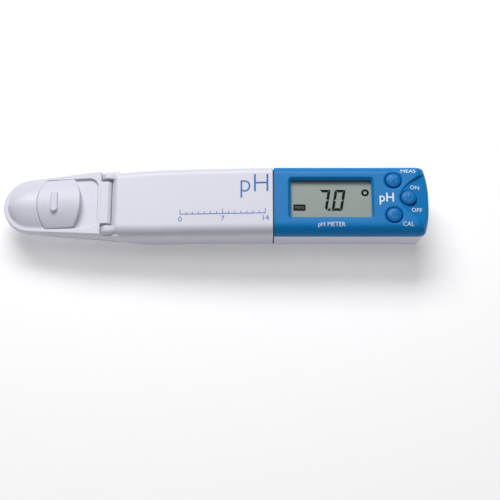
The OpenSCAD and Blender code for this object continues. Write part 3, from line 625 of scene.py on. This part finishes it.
def upper(x, y, z):
    """Blue upper case: a shell with the window's bevel, the key holes and the scoop."""
    plan = head_plan(x, y)
    f = both(plan, z - Z_FACE, SIDE_R)
    f = np.maximum(f, np.maximum(Z_PART + 0.06 - z, X_HEAD - x))
    f = both(f, Z_PART + 0.06 - z, 0.12)
    drop = (x + 1.2 - SCOOP_X) * SCOOP_SLOPE
    inner = both(plan + WALL, z - (Z_FACE - WALL), SIDE_R - WALL)
    inner = np.maximum(inner, np.minimum(z - (Z_FACE - 1.2 - drop), scoop_edge(y) - 1.2 - x))
    f = minus(f, np.maximum(inner, X_HEAD + WALL - x), 0.1)
    f = minus(f, np.maximum(spigot_section(y, z, 0.05), x - (X_HEAD + 3)))
    cx, hl, hw = WINDOW
    flat = rect(x, y, cx, 0, hl, hw, 0.5)
    bevel = (flat - (z - (Z_FACE - 1.1))) * math.sqrt(0.5)
    f = minus(f, np.maximum(bevel, flat - 1.15), 0.12)
    f = minus(f, np.maximum(rect(x, y, cx, 0, hl + 1, hw + 1, 0.4), z - (Z_FACE - 1.1)))
    for bx, by in BUTTONS.values():
        d = np.hypot(x - bx, y - by)
        hole = d - (BUTTON_R + 0.22)
        dish = (d - (BUTTON_R + 0.8)) * 0.6 - (z - Z_FACE) * 0.8
        f = minus(f, np.minimum(hole, np.maximum(dish, d - BUTTON_R - 1.2)), 0.15)
    rim = (scoop_edge(y) - x) / np.sqrt(1 + (2 * SCOOP_CURVE * y) ** 2)
    under = (Z_FACE - (x - SCOOP_X) * SCOOP_SLOPE) - z
    return minus(f, both(rim, under), 0.28)


def lower(x, y, z):
    """White lower case, with the tongue's recess and stub and the strap hole in its dish."""
    plan = head_plan(x, y)
    lean = (Z_PART - z) * math.sin(DRAFT)
    f = both(plan * math.cos(DRAFT) + lean, z - (Z_PART - 0.06), 0.12)
    f = both(f, -z, 2.8)
    f = both(f, X_HEAD - x, 0.25)
    hollow = both(plan * math.cos(DRAFT) + lean + WALL, WALL - z, 1.2)
    keep = np.minimum(
        np.maximum(slab(x, X_HEAD, TONGUE_X1 + 4), np.maximum(np.abs(y) - 7, z - 3.6)),
        np.maximum(STRAP_X - 4.4 - x, np.maximum(np.abs(y) - 5.6, z - 9.4)),
    )
    hollow = np.maximum(np.maximum(hollow, X_HEAD + WALL - x), -keep)
    f = minus(f, hollow, 0.1)
    f = minus(f, np.maximum(spigot_section(y, z, 0.05), x - (X_HEAD + 3)))
    stub = both(disc(x, y, STUB_X, 0, 1.6), 0.78 - z, 0.2)
    stub = np.maximum(stub, z - 2.2)
    f = minus(f, tongue_recess(x, y, z), 0.15)
    f = np.minimum(f, stub)
    nail = np.maximum(disc(x, z, TONGUE_X1 + 0.8, -1.2, 2.6), np.abs(y) - 3.5)
    f = minus(f, nail, 0.2)
    f = minus(f, np.maximum(disc(x, y, STRAP_X, 0, 1.5), z - 3.0), 0.25)
    dish = np.maximum(rect(y, z, 0, 5.35, 3.8, 2.85, 1.0), STRAP_X - 2.6 - x)
    return minus(f, dish, 0.3)


UPPER_X = spans(
    (X_HEAD - 0.6, X_HEAD + 2.4, 0.25),
    (X_HEAD + 2.4, X_HEAD + 4.6, 0.5),
    (X_HEAD + 4.6, X_HEAD + 8, 0.2),
    (X_HEAD + 8, WINDOW[0] + 14, 0.6),
    (WINDOW[0] + 14, X_END + 0.5, 0.2),
)
LOWER_X = spans(
    (X_HEAD - 0.6, X_HEAD + 2.4, 0.25),
    (X_HEAD + 2.4, STUB_X - 2.6, 0.7),
    (STUB_X - 2.6, TONGUE_X1 + 4.4, 0.22),
    (TONGUE_X1 + 4.4, X_END - 12, 0.8),
    (X_END - 12, X_END + 0.5, 0.25),
)
LOWER_Z = spans((-0.5, 3.6, 0.22), (3.6, Z_PART + 0.5, 0.3))

top_case = skin("head_upper", upper, UPPER_X, even(-15, 15, 0.24), even(Z_PART - 0.5, Z_FACE + 0.5, 0.16))
finish_piece(top_case, "meter", MAT["blue"], "upper_case", "upper_case")
low_case = skin("head_lower", lower, LOWER_X, even(-15, 15, 0.3), LOWER_Z)
finish_piece(low_case, "meter", MAT["white_low"], "lower_case", "lower_case")

# ---------------------------------------------------------------- keys


def key_shape(bx, by):
    """A round key with a domed top and a flange that stays under the case."""

    def f(x, y, z):
        d = np.hypot(x - bx, y - by)
        ball = np.sqrt((x - bx) ** 2 + (y - by) ** 2 + (z - (KEY_TOP - KEY_DOME_R)) ** 2) - KEY_DOME_R
        g = both(d - BUTTON_R, ball, 0.3)
        g = np.maximum(g, (Z_FACE - 3.6) - z)
        flange = np.maximum(d - (BUTTON_R + 0.65), slab(z, Z_FACE - 3.6, Z_FACE - 2.85))
        return np.minimum(g, flange)

    return f


for key, (bx, by) in BUTTONS.items():
    grid_x, grid_y = even(bx - 4.1, bx + 4.1, 0.16), even(by - 4.1, by + 4.1, 0.16)
    top = skin(key + "_top", key_shape(bx, by), grid_x, grid_y, even(Z_FACE - 3.9, Z_FACE + 1.2, 0.14))
    # the keys' darker blue is painted shade
    finish_piece(top, KEY_BODY[key], MAT["key"], key, key)

# ---------------------------------------------------------------- lettering


def bar(x0, y0, x1, y1):
    return [(x0, y0), (x1, y0), (x1, y1), (x0, y1)]


def arc_strokes(cx, cy, r_out, r_in, start=0, end=360, n=40):
    """Short straight strokes that make an arc from start to end, in degrees."""

    def at(r, a):
        return cx + r * math.cos(a), cy + r * math.sin(a)

    angles = [math.radians(start + (end - start) * i / n) for i in range(n + 1)]
    return [[at(r_in, a), at(r_out, a), at(r_out, b), at(r_in, b)] for a, b in zip(angles, angles[1:])]


def strip_piece(name, strokes, z, body, mat, slot, thickness=0.04):
    """Flat printed strokes: each is a list of (x, y) corners and becomes a thin closed prism."""
    bm = bmesh.new()
    for stroke in strokes:
        low = [bm.verts.new((x * MM, y * MM, z * MM)) for x, y in stroke]
        high = [bm.verts.new((x * MM, y * MM, (z + thickness) * MM)) for x, y in stroke]
        n = len(stroke)
        bm.faces.new(low[::-1])
        bm.faces.new(high)
        for i in range(n):
            bm.faces.new((low[i], low[(i + 1) % n], high[(i + 1) % n], high[i]))
    bmesh.ops.recalc_face_normals(bm, faces=bm.faces)
    data = bpy.data.meshes.new(name)
    bm.to_mesh(data)
    bm.free()
    obj = bpy.data.objects.new(name, data)
    bpy.context.scene.collection.objects.link(obj)
    return finish_piece(obj, body, mat, slot)


def words(name, text, x, y, z, size, body, mat, slot, thickness=0.04, bold=0.0, squeeze=1.0):
    """Printed lettering as a thin closed mesh, centred on x."""
    curve = bpy.data.curves.new(name, "FONT")
    curve.body = text
    curve.size = size * MM
    curve.align_x = "CENTER"
    curve.align_y = "CENTER"
    curve.extrude = thickness * MM / 2
    curve.offset = bold * MM
    curve.resolution_u = 3
    tmp = bpy.data.objects.new(name + "_tmp", curve)
    bpy.context.scene.collection.objects.link(tmp)
    bpy.context.view_layer.update()
    data = bpy.data.meshes.new_from_object(tmp.evaluated_get(bpy.context.evaluated_depsgraph_get()))
    bpy.data.objects.remove(tmp)
    data.transform(Matrix.Diagonal((squeeze, 1, 1, 1)))
    data.transform(Matrix.Translation((x * MM, y * MM, z * MM)))
    data.name = name
    obj = bpy.data.objects.new(name, data)
    bpy.context.scene.collection.objects.link(obj)
    return finish_piece(obj, body, mat, slot)


def drape(obj, height, lift=0.01):
    """Lifts a flat print so that it lies on a curved face; height gives the face's z in mm."""
    bm = bmesh.new()
    bm.from_mesh(obj.data)
    bmesh.ops.triangulate(bm, faces=bm.faces)
    for _ in range(3):
        long_edges = [e for e in bm.edges if e.calc_length() > 0.7 * MM]
        if long_edges:
            bmesh.ops.subdivide_edges(bm, edges=long_edges, cuts=1)
            bmesh.ops.triangulate(bm, faces=bm.faces)
    base = min(v.co.z for v in bm.verts)
    for v in bm.verts:
        v.co.z += (height(v.co.x / MM, v.co.y / MM) + lift) * MM - base
    bm.to_mesh(obj.data)
    bm.free()
    obj.data.update()
    return obj


def head_top(x, y):
    """Height of the blue face, with its rounded sides and the scoop."""
    z = rounded_top(y, Z_FACE, HEAD_HALF, SIDE_R)
    if x > scoop_edge(y):
        z = min(z, Z_FACE - (x - SCOOP_X) * SCOOP_SLOPE)
    return z


def sleeve_face(x, y):
    half = float(np.interp(x, SLEEVE_W[:, 0], SLEEVE_W[:, 1]))
    return rounded_top(y, float(sleeve_top(x)), half, SLEEVE_R)


LABELS = [  # name, text, centre, size, weight, width factor
    ("label_meter", "pH METER", WINDOW[0] - 0.05, -WINDOW[2] - 3.45, 2.45, 0.0, 0.95),
    ("label_unit", "pH", WINDOW[0] + 21.2, -0.1, 5.4, 0.04, 0.92),
    ("label_meas", "MEAS", X_END - 8.0, 11.3, 2.2, 0.0, 1.13),
    ("label_on", "ON", X_END - 5.6, 4.6, 2.3, 0.0, 1.0),
    ("label_off", "OFF", X_END - 5.1, -4.9, 2.35, 0.0, 1.0),
    ("label_cal", "CAL", X_END - 8.6, -11.1, 2.35, 0.0, 1.0),
]
for name, text, x, y, size, bold, squeeze in LABELS:
    look = ("meter", MAT["print_white"], "upper_case")
    drape(words(name, text, x, y, Z_FACE, size, *look, bold=bold, squeeze=squeeze), head_top)


def legend(name, key, strokes=None, text=None):
    """Raised mark on a key's dome."""
    bx, by = BUTTONS[key]
    # the legend's lighter blue is a painted highlight
    look = (KEY_BODY[key], MAT["legend"], key)

    def on_dome(x, y):
        drop = math.sqrt(max(0.0, KEY_DOME_R**2 - (x - bx) ** 2 - (y - by) ** 2))
        return KEY_TOP - KEY_DOME_R + drop

    if text:
        obj = words(name, text, bx, by, Z_FACE, 5.0, *look, thickness=0.22, squeeze=0.85)
    else:
        obj = strip_piece(name, strokes, Z_FACE, *look, thickness=0.22)
    return drape(obj, on_dome, -0.08)


legend("legend_meas", "meas_button", text="M")
px, py = BUTTONS["power_button"]
power_mark = arc_strokes(px, py, 1.8, 1.42, 120, 420, 28)
power_mark.append(bar(px - 0.2, py - 0.2, px + 0.2, py + 1.9))
legend("legend_power", "power_button", power_mark)
legend("legend_cal", "cal_button", arc_strokes(*BUTTONS["cal_button"], 1.75, 1.3, 42, 318, 28))

# blue prints of the sensor module: the quantity, and a scale of its range
SCALE_X0, SCALE_X1, SCALE_Y = -13.5, 19.0, -6.3
SCALE_LINE, TICK_LINE = 0.15, 0.14
SCALE_END = 14
BLUE_PRINT = ("sensor", MAT["print_blue"], "sensor_housing")
quantity = words("print_quantity", "pH", 15.0, 6.1, Z_FACE, 11.2, *BLUE_PRINT, bold=-0.13, squeeze=0.89)
drape(quantity, sleeve_face)


def scale_x(value):
    return SCALE_X0 + value * (SCALE_X1 - SCALE_X0) / SCALE_END


rule = [bar(SCALE_X0 - SCALE_LINE, SCALE_Y - SCALE_LINE, SCALE_X1 + SCALE_LINE, SCALE_Y + SCALE_LINE)]
for value in range(SCALE_END + 1):
    x = scale_x(value)
    tall = 1.9 if value % 7 == 0 else 1.0
    rule.append(bar(x - TICK_LINE, SCALE_Y + SCALE_LINE, x + TICK_LINE, SCALE_Y + tall))
drape(strip_piece("print_scale", rule, Z_FACE, *BLUE_PRINT), sleeve_face)
for value in range(0, SCALE_END + 1, 7):
    number = words(f"print_{value}", str(value), scale_x(value), SCALE_Y - 2.1, Z_FACE, 3.0, *BLUE_PRINT)
    drape(number, sleeve_face)

# ---------------------------------------------------------------- display


def digit_strokes(x0, y0, w, h, s, lit, slant):
    """Seven-segment strokes of width s: a top, b and c right, d bottom, e and f left."""
    gap, mid, half = 0.1, h / 2, s / 2
    seg = {
        "a": [(gap, h), (w - gap, h), (w - s - gap, h - s), (s + gap, h - s)],
        "d": [(gap, 0), (s + gap, s), (w - s - gap, s), (w - gap, 0)],
        "b": [(w, h - gap), (w, mid + gap), (w - half, mid + gap), (w - s, mid + half), (w - s, h - s - gap)],
        "c": [(w, gap), (w - s, s + gap), (w - s, mid - half), (w - half, mid - gap), (w, mid - gap)],
        "f": [(0, h - gap), (s, h - s - gap), (s, mid + half), (half, mid + gap), (0, mid + gap)],
        "e": [(0, gap), (0, mid - gap), (half, mid - gap), (s, mid - half), (s, s + gap)],
    }
    return [[(x0 + dx + slant * dy, y0 + dy) for dx, dy in seg[k]] for k in lit]


def badge_strokes(cx, cy):
    """A filled plate with cut corners."""
    hx, hy, chamfer = 2.35, 1.35, 0.3
    corners = [(chamfer - hx, -hy), (hx - chamfer, -hy), (hx, chamfer - hy), (hx, hy - chamfer)]
    corners += [(-dx, -dy) for dx, dy in corners]
    return [[(cx + dx, cy + dy) for dx, dy in corners]]


LCD_Z = cad_mm("lcd_panel")[1][2] + 0.01
LCD_X = WINDOW[0]
LOW, TALL, SLANT, STROKE = -4.45, 8.9, 0.163, 1.08
BADGE = (LCD_X - 12.15, -3.1)
digits = digit_strokes(LCD_X - 5.85, LOW, 4.3, TALL, STROKE, "abc", SLANT)
digits += digit_strokes(LCD_X + 0.05, LOW, 4.2, TALL, STROKE, "abcdef", SLANT)
dot = [[(LCD_X - 1.3, LOW), (LCD_X - 0.35, LOW), (LCD_X - 0.2, LOW + 0.95), (LCD_X - 1.15, LOW + 0.95)]]
ring = arc_strokes(LCD_X + 13.1, 3.2, 1.5, 0.66)
strip_piece("lcd_digits", digits + dot, LCD_Z, "meter", MAT["segment"], "lcd_panel")
strip_piece("lcd_symbols", badge_strokes(*BADGE) + ring, LCD_Z, "meter", MAT["segment"], "lcd_panel")

# polarity marks stamped on the coin cells
PLUS_ARM, PLUS_HALF = 2.0, 0.35
for cell in ("coin_cell_front", "coin_cell_rear"):
    lo, hi = cad_mm(cell)
    cx, cy = (lo[:2] + hi[:2]) / 2
    plus = [
        bar(cx - PLUS_ARM, cy - PLUS_HALF, cx + PLUS_ARM, cy + PLUS_HALF),
        bar(cx - PLUS_HALF, cy + PLUS_HALF, cx + PLUS_HALF, cy + PLUS_ARM),
        bar(cx - PLUS_HALF, cy - PLUS_ARM, cx + PLUS_HALF, cy - PLUS_HALF),
    ]
    stamp = plus + arc_strokes(cx, cy, 7.6, 7.4)
    strip_piece(cell + "_mark", stamp, hi[2] + 0.005, "meter", MAT["mark"], cell, thickness=0.03)
badge_look = ("meter", MAT["segment_faint"], "lcd_panel")
words("lcd_badge_text", "MEAS", *BADGE, LCD_Z + 0.06, 1.55, *badge_look, bold=0.02)

# ---------------------------------------------------------------- carried-over CAD nodes

KEEP = {  # material: the nodes that have it
    "lens": ["display_window"],
    "lcd": ["lcd_panel"],
    "black": ["lcd_frame", "pin_block"],
    "rubber": ["zebra_strips", "keypad_seal", "case_seal", "joint_gasket", "well_seal"],
    "board": ["main_board", "chamber_bulkhead"],
    "steel": ["key_switches", "crystal_can", "board_screws", "cell_clip", "electrode_wires", "hinge_pin"],
    "chip": ["microcontroller", "amplifier_chip"],
    "capacitor": ["chip_capacitors"],
    "resistor": ["chip_resistors"],
    "white_low": ["battery_carrier", "release_tongue"],
    "cell": ["coin_cell_front", "coin_cell_rear", "cell_caps"],
    "gold": ["positive_contacts", "negative_contacts", "contact_pins", "contact_pads"],
    "plate": ["sensor_plate"],
    "membrane": ["ph_membrane"],
    "junction": ["liquid_junction"],
    "epoxy": ["thermistor"],
    "gel": ["reference_gel"],
}
for mat, kept_nodes in KEEP.items():
    for node in kept_nodes:
        data = nodes[node].data
        data.materials.clear()
        data.materials.append(MAT[mat])

# ---------------------------------------------------------------- floor, light and camera

PAPER = (0.93, 0.93, 0.94)
floor_mat = material("floor_paper", PAPER, rough=0.8, grain=0.2, grain_scale=400.0, tint=0.01, glow=0.2)
FLOOR_HALF = 6.0  # metres
bm = bmesh.new()
for x, y in bar(-FLOOR_HALF, -FLOOR_HALF, FLOOR_HALF, FLOOR_HALF):
    bm.verts.new((x, y, 0))
bm.faces.new(bm.verts)
floor_data = bpy.data.meshes.new("floor")
bm.to_mesh(floor_data)
bm.free()
floor = bpy.data.objects.new("floor", floor_data)
floor_data.materials.append(floor_mat)
bpy.context.scene.collection.objects.link(floor)


def area_light(name, place, width, height, power):
    """Soft rectangular light that points at the origin."""
    light = bpy.data.lights.new(name, "AREA")
    light.shape = "RECTANGLE"
    light.size, light.size_y = width, height
    light.energy = power
    obj = bpy.data.objects.new(name, light)
    obj.location = place
    obj.rotation_euler = (-Vector(place)).to_track_quat("-Z", "Y").to_euler()
    bpy.context.scene.collection.objects.link(obj)


area_light("key_light", (-0.12, 0.55, 0.62), 0.75, 0.35, 6.0)
area_light("top_light", (0.05, 0.12, 0.9), 0.8, 0.5, 2.1)
area_light("front_fill", (0.1, -0.7, 0.25), 0.9, 0.3, 0.28)

world = bpy.data.worlds.new("soft_world")
world.use_nodes = True
world.node_tree.nodes["Background"].inputs["Color"].default_value = (0.96, 0.97, 1.0, 1)
world.node_tree.nodes["Background"].inputs["Strength"].default_value = 0.10
bpy.context.scene.world = world
bpy.context.scene.view_settings.view_transform = "Standard"
bpy.context.scene.view_settings.look = "None"

ELEVATION = math.radians(66)
DISTANCE = 0.65  # metres
VIEW_WIDTH = 0.1937984  # metres across the view at the aim point
SENSOR_WIDTH = 36.0
camera = bpy.data.cameras.new("camera")
camera.sensor_width = SENSOR_WIDTH
camera.lens = SENSOR_WIDTH * DISTANCE / VIEW_WIDTH
cam = bpy.data.objects.new("camera", camera)
view_dir = Vector((0, math.cos(ELEVATION), -math.sin(ELEVATION)))
view_up = Vector((0, math.sin(ELEVATION), math.cos(ELEVATION)))
aim = Vector((0.0132, 0, 0.010)) - view_up * 0.0160
cam.location = aim - view_dir * DISTANCE
cam.rotation_euler = view_dir.to_track_quat("-Z", "Y").to_euler()
bpy.context.scene.collection.objects.link(cam)
bpy.context.scene.camera = cam
